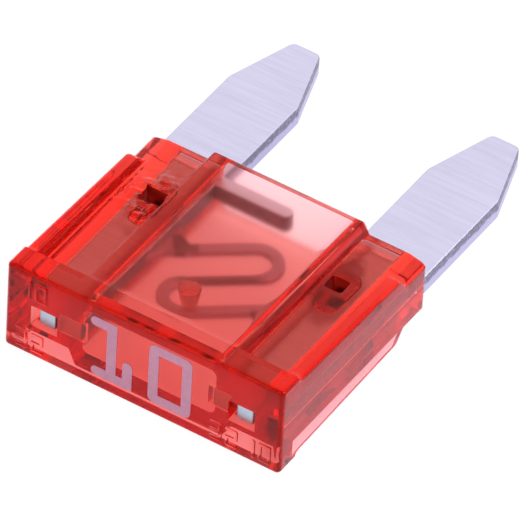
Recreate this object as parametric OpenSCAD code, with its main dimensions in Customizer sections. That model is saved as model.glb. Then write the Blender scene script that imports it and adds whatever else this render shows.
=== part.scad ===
// Miniature automotive blade fuse, 10 A size, lying on its broad face.
// +X runs across the blades, +Y from the head to the blade tips, +Z is up.
// The shapes are drawn about the fuse's middle plane with the head's face at y = 0,
// and place() sets them on the ground with the origin under the middle of the fuse.

/* [Housing] */
// Width across the head and the two sides
body_w = 10.9; // [10.6:0.1:11.2]
// Length from the head's face to the foot
body_l = 8.8; // [8.4:0.1:9.2]
// Thickness of the head flange
head_t = 3.7; // [3.5:0.05:3.9]
// Length of the head flange
head_l = 1; // [0.8:0.05:1.2]
// Thickness across the raised panels beside the head
panel_t = 3.48; // [3.3:0.02:3.6]
// Taper of each panel towards the foot, in degrees
panel_draft = 0.8; // [0.3:0.1:1.2]
// Width of a panel's flat top
panel_w = 5.86; // [5.6:0.02:6.1]
// Width of a panel where it meets the grooves
panel_base_w = 6.4; // [6.2:0.02:6.6]
// Thickness across the two grooves
groove_t = 2.38; // [2.2:0.02:2.5]
// Thickness at the outer corners of the foot
corner_t = 2.06; // [1.9:0.02:2.2]
// Width of the slope at each outer corner of the foot
corner_w = 0.65; // [0.5:0.05:0.8]
// Thickness across the side rails beside the head
rail_t = 3.38; // [3.3:0.02:3.5]
// Taper of each rail towards the foot, in degrees
rail_draft = 1.7; // [1:0.1:2]
// Width of a rail's flat top
rail_w = 0.5; // [0.45:0.01:0.65]
// Slope of a rail's inner wall, in degrees from upright
rail_lean = 5; // [3:1:20]
// Distance from the head's face to where the rails run down to the foot
rail_end = 7.05; // [6.5:0.05:7.2]
// Length of that run down
rail_run = 0.7; // [0.4:0.05:0.8]
// Length of the hollow curve from the head flange down to the panels and rails
flange_ramp = 0.35; // [0.1:0.05:0.5]

/* [Inside of the housing] */
// Wall between the head's face and the cavity
head_wall = 0.9; // [0.7:0.05:1]
// Width of the cavity
cavity_w = 5.24; // [5:0.02:5.3]
// Height of the cavity at the head
cavity_h_head = 1.9; // [1.7:0.05:2]
// Height of the cavity at its mouth
cavity_h_mouth = 2.28; // [2.1:0.02:2.4]
// Width of the stub on the cavity's upper wall, where it stands on the wall
stub_d = 0.8; // [0.5:0.05:0.9]
// Length of the stub
stub_l = 0.76; // [0.4:0.02:0.8]
// Gap all round the metal in its slots
slot_gap = 0.02; // [0.01:0.01:0.04]
// Width of a test window in the head
window_w = 1.05; // [0.9:0.05:1.2]
// Height of a test window
window_h = 0.86; // [0.82:0.02:0.9]

/* [Stakes] */
// Distance from the head's face to the stakes
stake_y = 6.1; // [5.5:0.05:6.5]
// Distance of each stake from the middle of the fuse
stake_x = 3.65; // [3.5:0.05:3.75]
// Width of the punched pit over a stake
pit_w = 0.75; // [0.6:0.05:0.9]
// Length of the punched pit
pit_l = 0.7; // [0.6:0.05:0.9]
// Thickness of plastic left between the two pits
pit_floor_t = 1.1; // [1:0.05:1.2]
// Width of the oblong plastic plug through each leg
plug_w = 0.9; // [0.7:0.05:1]
// Length of the plug
plug_l = 2.1; // [1.2:0.1:2.2]

/* [Fuse element] */
// Thickness of the blades and legs
blade_t = 0.76; // [0.74:0.01:0.8]
// Width of a blade
blade_w = 2.8; // [2.7:0.05:2.9]
// Distance between the blades' centre lines
blade_pitch = 8; // [7.9:0.05:8.1]
// Length of a blade outside the housing
blade_reach = 7.4; // [7:0.1:7.8]
// Length of a blade's tapered end
taper_l = 2.7; // [2.3:0.1:3]
// Width of a blade's tip
tip_w = 1.1; // [0.9:0.05:1.3]
// Radius at the corners of the tip
tip_r = 0.28; // [0.1:0.02:0.35]
// Distance of a leg's outer edge from the middle of the fuse
leg_outer_x = 4.4; // [4.2:0.05:4.45]
// Distance from the head's face to a leg's shoulder
leg_top_y = 0.6; // [0.5:0.05:0.7]
// Width of the test tab on top of a leg
tab_w = 0.64; // [0.5:0.02:0.8]
// Depth of the test tab behind the head's face
tab_depth = 0.2; // [0.1:0.05:0.3]
// Thickness of the fusible link
link_t = 0.3; // [0.2:0.05:0.4]
// Width of the link's two outer runs
link_w = 0.44; // [0.3:0.02:0.5]
// Width of the link's middle run, where it melts
link_neck_w = 0.26; // [0.2:0.02:0.42]
// Angle of the link's runs across the fuse, in degrees
link_angle = 38; // [30:1:42]
// Centre-line radius of the link's two bends
bend_r = 0.77; // [0.6:0.01:0.8]
// Half the length of the link's middle run
link_reach = 1.24; // [1:0.02:1.3]
// Distance from the head's face to the middle of the link
link_y = 4.66; // [4.6:0.02:5]
// Distance that the cut tie bar reaches in from its leg
tie_l = 2.9; // [0.5:0.1:3.3]
// Width of the cut tie bar
tie_w = 0.55; // [0.4:0.05:0.7]

/* [Markings on the head] */
// Height of the printed numerals
digit_h = 2.56; // [2:0.02:2.7]
// Width of the nought
nought_w = 1.68; // [1.4:0.02:1.8]
// Width of the numerals' strokes
stroke_w = 0.38; // [0.3:0.01:0.42]
// Thickness of the printed ink
ink_t = 0.03; // [0.02:0.01:0.05]
// Height of the small raised numerals at the corners
relief_h = 0.05; // [0.03:0.01:0.08]
// Size of the small raised numerals
relief_size = 0.72; // [0.5:0.02:0.8]

/* [Hidden] */
$fn = 48;
eps = 0.01;

half_w = body_w / 2;
mid_z = head_t / 2;
overall_l = relief_h + body_l + blade_reach;
origin_y = overall_l / 2 - relief_h;

blade_x = blade_pitch / 2;
blade_inner_x = blade_x - blade_w / 2;
tab_x = 3.9;
tip_y = body_l + blade_reach;
shoulder_y = body_l + slot_gap;

groove_h = groove_t / 2;
edge_r = 0.12;
side_r = 0.18;
arc_steps = 6;

// Raised numerals: the digits and the lower left corner of each group, in x and z
relief_groups = [[[3, 2], [-5, -1.55]], [[1, 0], [-4.9, 0.72]], [[3, 2], [2.7, -1.55]], [[1, 0], [4, -1.55]]];
relief_step = 0.86 * relief_size;
relief_stroke = relief_size / 6;

// Strokes of each digit from 0 to 3: top, upper right, lower right, foot, lower left, upper left, middle
STROKES = [[1, 1, 1, 1, 1, 1, 0], [0, 1, 1, 0, 0, 0, 0], [1, 1, 0, 1, 1, 0, 1], [1, 1, 1, 1, 0, 0, 1]];

// Place of the stub in the cavity
stub_pos = [-0.1, 2.9];

function unit(v) = v / norm(v);

// Points of a corner p rounded with radius r, between its neighbours a and b
function corner(a, p, b, r) =
    let (u = unit(a - p), v = unit(b - p), half = acos(u * v) / 2)
    let (c = p + unit(u + v) * r / sin(half))
    let (s = p + u * r / tan(half) - c, e = p + v * r / tan(half) - c)
    let (turn = sign(s[0] * e[1] - s[1] * e[0]) * (180 - 2 * half), start = atan2(s[1], s[0]))
    [
        for (i = [0 : arc_steps])
            let (angle = start + turn * i / arc_steps)
            c + r * [cos(angle), sin(angle)]
    ];

// Sets a shape drawn about the middle plane, with the head's face at y = 0, on the ground
module place() {
    translate([0, -origin_y, mid_z]) children();
}

// Both sides, or both faces, of a shape
module both_sides() {
    children();
    mirror([1, 0, 0]) children();
}

module both_faces() {
    children();
    mirror([0, 0, 1]) children();
}

// A section in x and z, carried along y
module along_y(y0, y1) {
    translate([0, y1, 0]) rotate([90, 0, 0]) linear_extrude(y1 - y0) children();
}

// An outline in y and z, carried along x
module along_x(x0, x1) {
    translate([x0, 0, 0]) rotate([90, 0, 90]) linear_extrude(x1 - x0) children();
}

// An outline in x and y, centred on the middle plane
module flat_plate(t) {
    translate([0, 0, -t / 2]) linear_extrude(t) children();
}

// Head flange: full thickness, with its long edges rounded
module head_flange() {
    along_y(0, head_l) rounded_rectangle(body_w, head_t, side_r);
}

module rounded_rectangle(w, h, r) {
    square([w - 2 * r, h], center = true);
    square([w, h - 2 * r], center = true);
    for (x = [-1, 1], z = [-1, 1])
        translate([x * (w / 2 - r), z * (h / 2 - r)]) circle(r);
}

// Plate at the level of the grooves, falling away to the outer corners of the foot
module groove_plate() {
    slope_x = half_w - corner_w;
    along_y(0, body_l) polygon([
        [-half_w, -corner_t / 2], [-slope_x, -groove_h], [slope_x, -groove_h], [half_w, -corner_t / 2],
        [half_w, corner_t / 2], [slope_x, groove_h], [-slope_x, groove_h], [-half_w, corner_t / 2]
    ]);
}

// Hollow curve from the head flange down to a surface at the height low, over the width from x0 to x1
module flange_curve(x0, x1, low) {
    high = head_t / 2 - 0.03;
    near_y = head_l - 0.2;
    far_y = head_l + flange_ramp;
    curve = [
        for (i = [arc_steps : -1 : 0])
            let (a = 90 * i / arc_steps)
            [far_y - flange_ramp * sin(a), low + (high - low) * (1 - cos(a))]
    ];
    along_x(x0, x1) polygon(concat([[near_y, low - 0.5], [near_y, high]], curve, [[far_y, low - 0.5]]));
}

// Raised panel on one face, with sloping side walls and a taper towards the foot
module panel() {
    // The walls are carried down to twice the groove's depth, so that they run into the plate
    depth = panel_t - groove_t;
    top_x = panel_w / 2;
    base_x = panel_base_w - top_x;
    right_edge = corner([0, 0], [top_x, 0], [base_x, -depth], edge_r);
    left_edge = corner([-base_x, -depth], [-top_x, 0], [0, 0], edge_r);
    section = concat(left_edge, right_edge, [[base_x, -depth], [-base_x, -depth]]);
    intersection() {
        translate([0, head_l, panel_t / 2])
            rotate([-panel_draft, 0, 0])
                along_y(-0.5, body_l) polygon(section);
        translate([-half_w, head_l / 2, 0]) cube([body_w, body_l - head_l / 2, head_t / 2]);
    }
    flange_curve(-top_x, top_x, panel_t / 2 - flange_ramp * tan(panel_draft));
}

// Height of a rail's top over its run down to the foot: half a cosine wave, for t from 0 to 1
rail_end_h = rail_t / 2 - (rail_end - head_l) * tan(rail_draft);
function run_down(t) = corner_t / 2 + (rail_end_h - corner_t / 2) * (1 + cos(180 * t)) / 2;

// Side rail on one side of one face
module rail() {
    lean = tan(rail_lean);
    inner_x = half_w - rail_w;
    deep = 1;
    inner_edge = corner([inner_x - lean * deep, -deep], [inner_x, 0], [half_w, 0], edge_r / 2);
    outer_edge = corner([inner_x, 0], [half_w, 0], [half_w, -deep], edge_r);
    section = concat(inner_edge, outer_edge, [[half_w, -deep], [inner_x - lean * deep, -deep]]);
    run_steps = 10;
    outline = concat(
        [[head_l - 0.35, 0], [head_l - 0.35, head_t / 2], [rail_end, head_t / 2]],
        [for (i = [0 : run_steps]) [rail_end + rail_run * i / run_steps, run_down(i / run_steps)]],
        [[rail_end + rail_run, 0]]
    );
    intersection() {
        translate([0, head_l, rail_t / 2])
            rotate([-rail_draft, 0, 0])
                along_y(-0.5, body_l) polygon(section);
        along_x(half_w - 2, half_w) polygon(outline);
    }
    flange_curve(inner_x, half_w - edge_r, rail_t / 2 - flange_ramp * tan(rail_draft));
}

// Cavity round the link, open at the foot and wider there
module cavity() {
    along_x(-cavity_w / 2, cavity_w / 2) polygon([
        [head_wall, -cavity_h_head / 2], [body_l + eps, -cavity_h_mouth / 2],
        [body_l + eps, cavity_h_mouth / 2], [head_wall, cavity_h_head / 2]
    ]);
}

// Tapered stub that stands down from the cavity's upper wall
module stub() {
    along = (stub_pos[1] - head_wall) / (body_l - head_wall);
    wall_z = (cavity_h_head + (cavity_h_mouth - cavity_h_head) * along) / 2;
    translate([stub_pos[0], stub_pos[1], wall_z - stub_l])
        cylinder(h = stub_l + 0.2, d1 = 0.7 * stub_d, d2 = stub_d);
}

// Slot for one leg, with a lead-in at the foot
module leg_slot() {
    slot_h = blade_t / 2 + slot_gap;
    lead = 0.1;
    along_x(blade_inner_x - slot_gap, leg_outer_x + slot_gap) polygon([
        [leg_top_y - slot_gap, -slot_h], [body_l - lead, -slot_h], [body_l + eps, -slot_h - lead],
        [body_l + eps, slot_h + lead], [body_l - lead, slot_h], [leg_top_y - slot_gap, slot_h]
    ]);
}

// Oblong with round ends, long in y
module oblong(w, l) {
    square([w, l - w], center = true);
    for (y = [-1, 1]) translate([0, y * (l - w) / 2]) circle(d = w);
}

// Test window through the head's face to the leg's tab
module test_window() {
    translate([tab_x - window_w / 2, -relief_h, -window_h / 2])
        cube([window_w, leg_top_y + relief_h, window_h]);
}

// Pit that the staking punch leaves on one face
module stake_pit() {
    translate([stake_x - pit_w / 2, stake_y - pit_l / 2, pit_floor_t / 2]) cube([pit_w, pit_l, head_t]);
}

// One small digit, drawn in x and z with straight strokes
module relief_digit(n) {
    w = relief_size * 0.58;
    h = relief_size;
    t = relief_stroke;
    boxes = [
        [0, h - t, w, t], [w - t, h / 2, t, h / 2], [w - t, 0, t, h / 2 + t / 2],
        [0, 0, w, t], [0, 0, t, h / 2], [0, h / 2, t, h / 2], [0, h / 2 - t / 2, w, t]
    ];
    for (i = [0 : len(boxes) - 1])
        if (STROKES[n][i] == 1)
            translate([boxes[i][0], boxes[i][1]]) square([boxes[i][2], boxes[i][3]]);
}

// Small raised numerals on the head's face
module relief() {
    along_y(-relief_h, eps)
        for (group = relief_groups, i = [0 : len(group[0]) - 1])
            translate([group[1][0] + i * relief_step, group[1][1]]) relief_digit(group[0][i]);
}

// One-piece moulded housing, staked to the legs by a plug through each
module housing() {
    color([0.86, 0.08, 0.07, 0.55]) place() {
        difference() {
            union() {
                head_flange();
                groove_plate();
                both_faces() panel();
                both_faces() both_sides() rail();
                relief();
            }
            cavity();
            both_sides() {
                leg_slot();
                test_window();
                both_faces() stake_pit();
            }
        }
        both_sides() translate([stake_x, stake_y, 0])
            flat_plate(blade_t + 4 * slot_gap) oblong(plug_w, plug_l);
        stub();
    }
}

// Outline of one blade outside the housing, with rounded tip corners
module blade_outline() {
    tip_x = tip_w / 2;
    side = [blade_w / 2, tip_y - taper_l];
    right_tip = corner(side, [tip_x, tip_y], [-tip_x, tip_y], tip_r);
    left_tip = corner([tip_x, tip_y], [-tip_x, tip_y], [-side[0], side[1]], tip_r);
    translate([blade_x, 0]) polygon(concat(
        [[-blade_w / 2, shoulder_y], [blade_w / 2, shoulder_y], side],
        right_tip,
        left_tip,
        [[-side[0], side[1]]]
    ));
}

// Outline of one leg inside the housing: a narrow test tab, a shoulder, and a hole for the plug
module leg_outline() {
    difference() {
        union() {
            translate([blade_inner_x, leg_top_y])
                square([leg_outer_x - blade_inner_x, shoulder_y + eps - leg_top_y]);
            translate([tab_x - tab_w / 2, tab_depth])
                square([tab_w, leg_top_y + eps - tab_depth]);
        }
        translate([stake_x, stake_y]) oblong(plug_w + 4 * slot_gap, plug_l + 4 * slot_gap);
    }
}

// A straight run of the link from p to q, w wide
module run(p, q, w) {
    d = q - p;
    translate(p) rotate(atan2(d[1], d[0])) translate([0, -w / 2]) square([norm(d), w]);
}

// Half of the link: half of the middle run, a bend, the outer run and its root on the leg
module half_link() {
    outer_n = 2 * bend_r;
    root_u = -1.15;
    rotate(link_angle) {
        run([0, 0], [link_reach, 0], link_neck_w);
        translate([link_reach, bend_r]) intersection() {
            difference() {
                circle(bend_r + link_w / 2);
                circle(bend_r - link_w / 2);
            }
            translate([0, -2]) square([2, 4]);
        }
        run([root_u, outer_n], [link_reach + eps, outer_n], link_w);
    }
}

// Root of the link on its leg: the outer run flares to the leg's inner edge
module link_root() {
    c = cos(link_angle);
    s = sin(link_angle);
    along_run = function (u, n) [u * c - n * s, u * s + n * c];
    upper = along_run(-0.9, 2 * bend_r + link_w / 2);
    lower = along_run(-0.55, 2 * bend_r - link_w / 2);
    edge_x = -blade_inner_x;
    flare = 0.35;
    low_y = -0.6;
    high_y = 1.55;
    polygon(concat(
        [upper, lower],
        corner(lower, [edge_x + flare, low_y + 0.55], [edge_x, low_y], flare),
        [[edge_x - 0.2, low_y], [edge_x - 0.2, high_y], [edge_x, high_y]],
        corner([edge_x, high_y], [edge_x + flare, high_y - 0.5], upper, flare)
    ));
}

// Fusible link: an S of three slanting runs, the same when it is turned half round
module link_outline() {
    translate([0, link_y])
        for (turn = [0, 180]) rotate(turn) {
            half_link();
            link_root();
        }
}

// Tie bar between the legs, cut free of one of them
module tie_bar_outline() {
    end_r = tie_w / 2;
    start_x = -blade_inner_x - 0.2;
    length = tie_l + 0.2 - end_r;
    translate([start_x, body_l - tie_w]) square([length, tie_w]);
    translate([start_x + length, body_l - tie_w / 2]) circle(end_r);
}

// One stamping: two blades with their legs, the thin link and the cut tie bar
module fuse_element() {
    color("lightsteelblue") place() {
        flat_plate(blade_t) {
            for (side = [0, 1]) mirror([side, 0]) {
                blade_outline();
                leg_outline();
            }
            tie_bar_outline();
        }
        flat_plate(link_t) link_outline();
    }
}

// Stroke of a numeral from p, where its end is round, to q
module stroke(p, q) {
    run(p, q, stroke_w);
    translate(p) circle(d = stroke_w);
}

// The one, with a flag, a foot and an upturned end, drawn in x and z with its foot at z = 0
module one() {
    r = stroke_w / 2;
    stem_x = 0.85;
    foot_w = 1.68;
    upturn_h = 1.16;
    stroke([r, digit_h - r], [stem_x + r, digit_h - r]);
    stroke([r + 0.08, r], [foot_w, r]);
    stroke([foot_w - r, upturn_h - r], [foot_w - r, 0]);
    run([stem_x, 0], [stem_x, digit_h], stroke_w);
}

// The nought, a rounded rectangle with a square middle
module nought() {
    difference() {
        translate([nought_w / 2, digit_h / 2]) rounded_rectangle(nought_w, digit_h, 0.26);
        translate([stroke_w, stroke_w]) square([nought_w - 2 * stroke_w, digit_h - 2 * stroke_w]);
    }
}

// Printed rating on the head's face
module rating_print() {
    foot_z = -1.24;
    color([0.75, 0.53, 0.65]) place()
        along_y(-ink_t, 0) {
            translate([-2.06, foot_z]) one();
            translate([0.26, foot_z]) nought();
        }
}

housing();
fuse_element();
rating_print();
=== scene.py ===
import math

import bpy
import numpy as np
from bpy.props import FloatProperty, FloatVectorProperty, PointerProperty
from mathutils import Matrix, Vector


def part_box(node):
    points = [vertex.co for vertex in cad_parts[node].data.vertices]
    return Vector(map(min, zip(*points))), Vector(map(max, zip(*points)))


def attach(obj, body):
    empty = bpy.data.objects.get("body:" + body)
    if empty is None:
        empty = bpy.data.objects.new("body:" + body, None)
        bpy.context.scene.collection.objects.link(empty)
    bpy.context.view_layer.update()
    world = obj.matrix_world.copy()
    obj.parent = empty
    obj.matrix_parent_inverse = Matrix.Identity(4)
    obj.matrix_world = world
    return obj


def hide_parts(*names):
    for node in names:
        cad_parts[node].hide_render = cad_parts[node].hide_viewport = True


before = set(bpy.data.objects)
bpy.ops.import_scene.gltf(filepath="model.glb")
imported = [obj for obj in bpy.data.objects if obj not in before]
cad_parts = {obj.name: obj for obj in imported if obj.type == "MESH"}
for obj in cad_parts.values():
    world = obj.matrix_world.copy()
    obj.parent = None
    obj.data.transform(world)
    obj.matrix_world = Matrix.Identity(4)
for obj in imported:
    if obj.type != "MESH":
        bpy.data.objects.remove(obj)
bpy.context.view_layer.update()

bl_info = {
    "name": "Miniature Blade Fuse",
    "version": (1, 0, 0),
    "blender": (4, 5, 0),
    "location": "3D View > Sidebar > Blade Fuse",
    "description": "Clear moulded housing, stamped element, printed rating and studio of a miniature blade fuse",
    "category": "Add Mesh",
}

MM = 0.001
GAP_UNDER = 0.00002

# Places in the frame, in millimetres. Shapes are worked out about the fuse's middle plane,
# with y counted from the head's face, and make_object() moves them into the frame.
HOUSING_LOW, HOUSING_HIGH = (np.array(corner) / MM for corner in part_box("housing"))
ELEMENT_LOW, ELEMENT_HIGH = (np.array(corner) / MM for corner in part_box("fuse_element"))
FACE_Y = np.array(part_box("rating_print")[1])[1] / MM
MID_Z = (HOUSING_LOW[2] + HOUSING_HIGH[2]) / 2
HALF_W = (HOUSING_HIGH[0] - HOUSING_LOW[0]) / 2
BODY_L = HOUSING_HIGH[1] - FACE_Y
HEAD_H = (HOUSING_HIGH[2] - HOUSING_LOW[2]) / 2
RELIEF_H = FACE_Y - HOUSING_LOW[1]
BLADE_H = (ELEMENT_HIGH[2] - ELEMENT_LOW[2]) / 2
BLADE_OUTER_X = ELEMENT_HIGH[0]
TIP_Y = ELEMENT_HIGH[1] - FACE_Y

# Housing, outside: heights over the middle plane, distances from the middle and from the head's face
HEAD_L = 1.0
FLANGE_WALL_SLOPE = 14
PANEL_H = 1.74
PANEL_DROP = math.tan(math.radians(0.8))
PANEL_X = 2.93
PANEL_BASE_X = 3.2
GROOVE_H = 1.19
CORNER_H = 1.03
CORNER_X = 4.8
RAIL_H = 1.69
RAIL_DROP = math.tan(math.radians(1.7))
RAIL_X = 4.9
RAIL_WALL_SLOPE = 6.5
RAIL_END_Y = 7.05
RAIL_RUN = 0.7
FLANGE_RAMP = 0.35
RAMP_BELOW_HEAD = 0.03

# Housing, inside: half widths and half heights, places as (x, y)
CAVITY_X = 2.62
CAVITY_R = 0.25
CAVITY_FRONT_Y = 0.9
CAVITY_H = (0.95, 1.14)
SLOT_GAP = 0.02
LEG_OUTER_X = 4.4
LEG_TOP_Y = 0.6
WINDOW_X = 3.9
WINDOW_HALF = (0.525, 0.43)
STAKE = (3.65, 6.1)
PLUG = (0.45, 1.05)
STUB = (-0.1, 2.9)
# Rings of the stub, as radius and height over the cavity's wall, and length of the slots' lead-in
STUB_PROFILE = ((0.16, -0.76), (0.24, -0.74), (0.28, -0.68), (0.4, 0), (0.42, 0.1))
LEAD = 0.1
# Side, half width, half length and raggedness of the punched pits, and the height of their floors
PITS = ((1, 0.37, 0.35, 0.02), (-1, 0.44, 0.42, 0.16))
PIT_FLOOR = 0.55

# Element: edges of blades and legs, the test tab as (x, half width, y), the tie bar and the link
BLADE_INNER_X = 2.6
TAPER_L = 2.7
TIP_HALF = 0.55
TAB = (3.9, 0.32, 0.2)
TIE_END_X = 0.3
TIE_W = 0.55
LINK_Y = 4.66
LINK_ANGLE = math.radians(38)
LINK_REACH = 1.24
BEND_R = 0.77
LINK_HALF = 0.22
LINK_NECK_HALF = 0.13
LINK_H = 0.15


# Arrays and meshes

def smooth_min(a, b, k):
    """The lower of two heights, with the corner between them rounded over the height k."""
    h = np.clip(0.5 + 0.5 * (b - a) / k, 0, 1)
    return b * (1 - h) + a * h - k * h * (1 - h)


def smooth_max(a, b, k):
    """The higher of two heights, with the corner between them filled over the height k."""
    return -smooth_min(-a, -b, k)


def bump(d, width):
    """Bell curve of height 1 and the given half width."""
    return np.exp(-(d / width) ** 2)


def lines(*stretches):
    """Grid lines: each stretch is (start, end, steps), and the last one's end closes the list."""
    parts = [np.linspace(a, b, n, endpoint=False) for a, b, n in stretches]
    return np.concatenate(parts + [[stretches[-1][1]]])


def grid_quads(rows, cols, first=0):
    """Quads of a grid of points stored row by row, facing +Z where x grows along a row and y over the rows."""
    index = first + np.arange(rows * cols).reshape(rows, cols)
    quads = np.stack([index[:-1, :-1], index[:-1, 1:], index[1:, 1:], index[1:, :-1]], -1)
    return quads.reshape(-1, 4)


def tube_quads(rings, around, first=0):
    """Quads between closed rings of equally many points, the last point of a ring joined to its first."""
    index = first + np.arange(rings * around).reshape(rings, around)
    turned = np.roll(index, -1, axis=1)
    quads = np.stack([index[:-1], turned[:-1], turned[1:], index[1:]], -1)
    return quads.reshape(-1, 4)


def signed_volume(points, faces):
    """Volume that a closed surface holds, below zero where its faces look inwards."""
    total = 0.0
    for face in faces:
        ring = points[np.asarray(face)]
        total += np.einsum("ij,ij->i", np.cross(ring[1:-1] - ring[0], ring[2:] - ring[0]), ring[1:-1]).sum()
    return total / 6


def make_object(name, points, faces):
    """A mesh object from points in millimetres about the fuse's own planes, turned to face outwards."""
    faces = [list(map(int, face)) for face in faces]
    if signed_volume(points, faces) < 0:
        faces = [face[::-1] for face in faces]
    placed = (points + np.array([0, FACE_Y, MID_Z])) * MM
    mesh = bpy.data.meshes.new(name)
    mesh.from_pydata(placed.tolist(), [], faces)
    mesh.validate()
    piece = bpy.data.objects.new(name, mesh)
    bpy.context.scene.collection.objects.link(piece)
    return piece


def lofted(name, rings):
    """A closed solid through rings of equally many points, with a flat face over each end."""
    count, around, _ = rings.shape
    faces = tube_quads(count, around).tolist()
    faces.append(list(range(around - 1, -1, -1)))
    faces.append(list(range((count - 1) * around, count * around)))
    return make_object(name, rings.reshape(-1, 3), faces)


def combine(piece, operation, tool):
    """Cuts the tool from the piece or joins it on, and removes the tool."""
    modifier = piece.modifiers.new("combine", "BOOLEAN")
    modifier.operation = operation
    modifier.solver = "MANIFOLD"
    modifier.object = tool
    depsgraph = bpy.context.evaluated_depsgraph_get()
    result = bpy.data.meshes.new_from_object(piece.evaluated_get(depsgraph))
    piece.modifiers.clear()
    if not result.polygons:
        raise RuntimeError(f"{operation} of {tool.name} left nothing of {piece.name}")
    old = piece.data
    piece.data = result
    bpy.data.meshes.remove(old)
    bpy.data.objects.remove(tool)
    return piece


def shade(piece, angle):
    """Smooth shading, broken where two faces meet at more than the angle, and flat on the large faces."""
    piece.data.name = piece.name
    piece.data.shade_smooth()
    piece.data.set_sharp_from_angle(angle=math.radians(angle))
    weighted = piece.modifiers.new("flat faces stay flat", "WEIGHTED_NORMAL")
    weighted.weight = 100
    weighted.keep_sharp = True


def finish_piece(piece, material, node):
    """Gives a piece its material and hands it to the frame in place of a CAD node."""
    piece.data.materials.clear()
    piece.data.materials.append(material)
    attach(piece, "root")
    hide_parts(node)


# Outlines

def rounded_path(corners, radii, steps=5):
    """A closed outline with each corner turned by an arc of its own radius.

    The arc's centre lies on the corner's bisector, at the radius over the sine of half the corner's angle."""
    corners = np.asarray(corners, float)
    before = np.roll(corners, 1, axis=0) - corners
    after = np.roll(corners, -1, axis=0) - corners
    before /= np.linalg.norm(before, axis=1)[:, None]
    after /= np.linalg.norm(after, axis=1)[:, None]
    outline = []
    for p, u, v, r in zip(corners, before, after, radii):
        if r == 0:
            outline.append(p[None])
            continue
        half = math.acos(np.clip(u @ v, -1, 1)) / 2
        centre = p + (u + v) / np.linalg.norm(u + v) * r / math.sin(half)
        start = p + u * r / math.tan(half) - centre
        end = p + v * r / math.tan(half) - centre
        turn = math.atan2(start[0] * end[1] - start[1] * end[0], start @ end)
        angle = math.atan2(start[1], start[0]) + turn * np.linspace(0, 1, steps + 1)
        outline.append(centre + r * np.stack([np.cos(angle), np.sin(angle)], 1))
    return np.concatenate(outline)


def inset(outline, distance):
    """The outline moved inwards by the distance, each point along the bisector of its two sides."""
    side = np.roll(outline, -1, axis=0) - outline
    side /= np.linalg.norm(side, axis=1)[:, None]
    normal = np.stack([-side[:, 1], side[:, 0]], 1)
    mean = normal + np.roll(normal, 1, axis=0)
    mean /= (mean * normal).sum(1)[:, None]
    return outline + mean * distance


def plate(name, outline, low, high, top_r, foot_r):
    """A stamped plate: the outline carried from low to high, drawn in by a quarter round at both ends."""
    quarter = np.linspace(0, math.pi / 2, 4)
    foot = [(foot_r * (1 - math.sin(a)), low + foot_r * (1 - math.cos(a))) for a in quarter]
    top = [(top_r * (1 - math.cos(a)), high - top_r * (1 - math.sin(a))) for a in quarter]
    rings = [np.column_stack([inset(outline, d), np.full(len(outline), z)]) for d, z in foot + top]
    return lofted(name, np.array(rings))


def along_y(name, section, stations):
    """A solid carried along y: section(y) gives its closed outline in x and z at each station."""
    rings = []
    for y in stations:
        outline = section(y)
        rings.append(np.column_stack([outline[:, 0], np.full(len(outline), y), outline[:, 1]]))
    return lofted(name, np.array(rings))


def rectangle(x0, x1, z0, z1, r):
    """Outline of a rectangle with rounded corners."""
    return rounded_path([(x0, z0), (x1, z0), (x1, z1), (x0, z1)], [r] * 4)


# Housing

def body_height(x, y):
    """Height of the housing's skin over its middle plane, the same on both faces.

    Panel, groove and rail are planes joined by their highest, each with its own sloping wall.
    The head flange stands over them all up to its back wall."""
    across = np.abs(x)
    back = np.maximum(y - HEAD_L, 0)
    ramp = np.clip((HEAD_L + FLANGE_RAMP - y) / FLANGE_RAMP, 0, 1)
    curve = 1 - np.sqrt(1 - ramp ** 2)
    panel_top = PANEL_H - PANEL_DROP * back
    panel_top = panel_top + (HEAD_H - RAMP_BELOW_HEAD - panel_top) * curve
    rail_top = RAIL_H - RAIL_DROP * back
    rail_top = rail_top + (HEAD_H - RAMP_BELOW_HEAD - rail_top) * curve
    run = np.clip((y - RAIL_END_Y) / RAIL_RUN, 0, 1)
    rail_top = rail_top + (CORNER_H - 0.1 - rail_top) * (1 - np.cos(math.pi * run)) / 2
    panel_wall = GROOVE_H + (PANEL_BASE_X - across) * (PANEL_H - GROOVE_H) / (PANEL_BASE_X - PANEL_X)
    rail_wall = GROOVE_H + (across - RAIL_X) * RAIL_WALL_SLOPE
    corner_fall = (GROOVE_H - CORNER_H) / (HALF_W - CORNER_X)
    groove = GROOVE_H - corner_fall * np.maximum(across - CORNER_X, 0) + stake_relief(x, y)
    flange = smooth_min(np.full_like(y, HEAD_H), GROOVE_H + 0.2 - (y - HEAD_L - 0.03) * FLANGE_WALL_SLOPE, 0.05)
    panel = smooth_min(panel_top, panel_wall, 0.14)
    rail = smooth_min(rail_top, rail_wall, 0.1)
    height = smooth_max(smooth_max(smooth_max(groove, panel, 0.1), rail, 0.08), flange, 0.05)
    return np.minimum(height, HEAD_H)


def stake_relief(x, y):
    """Plastic pushed up round the two punched pits and torn at the left one, as bell curves and short waves."""
    right = np.hypot((x - STAKE[0]) / 0.62, (y - STAKE[1]) / 0.75)
    left = np.hypot((x + STAKE[0]) / 0.62, (y - STAKE[1]) / 0.95)
    waves = np.sin(7.3 * x + 4.1 * y) * np.sin(5.2 * y - 3.7 * x + 1.0)
    rim = 0.012 * bump(right - 0.95, 0.3) + 0.07 * bump(left - 0.9, 0.35)
    folds = np.sin(13 * x - 9 * y) * np.sin(6 * x + 11 * y)
    torn = (0.1 * waves + 0.06 * folds) * bump(left, 1.2) + 0.006 * waves * bump(right, 1.3)
    groove_only = np.clip((np.abs(x) - 3.2) / 0.15, 0, 1) * np.clip((4.85 - np.abs(x)) / 0.15, 0, 1)
    return (rim + torn) * groove_only


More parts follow.
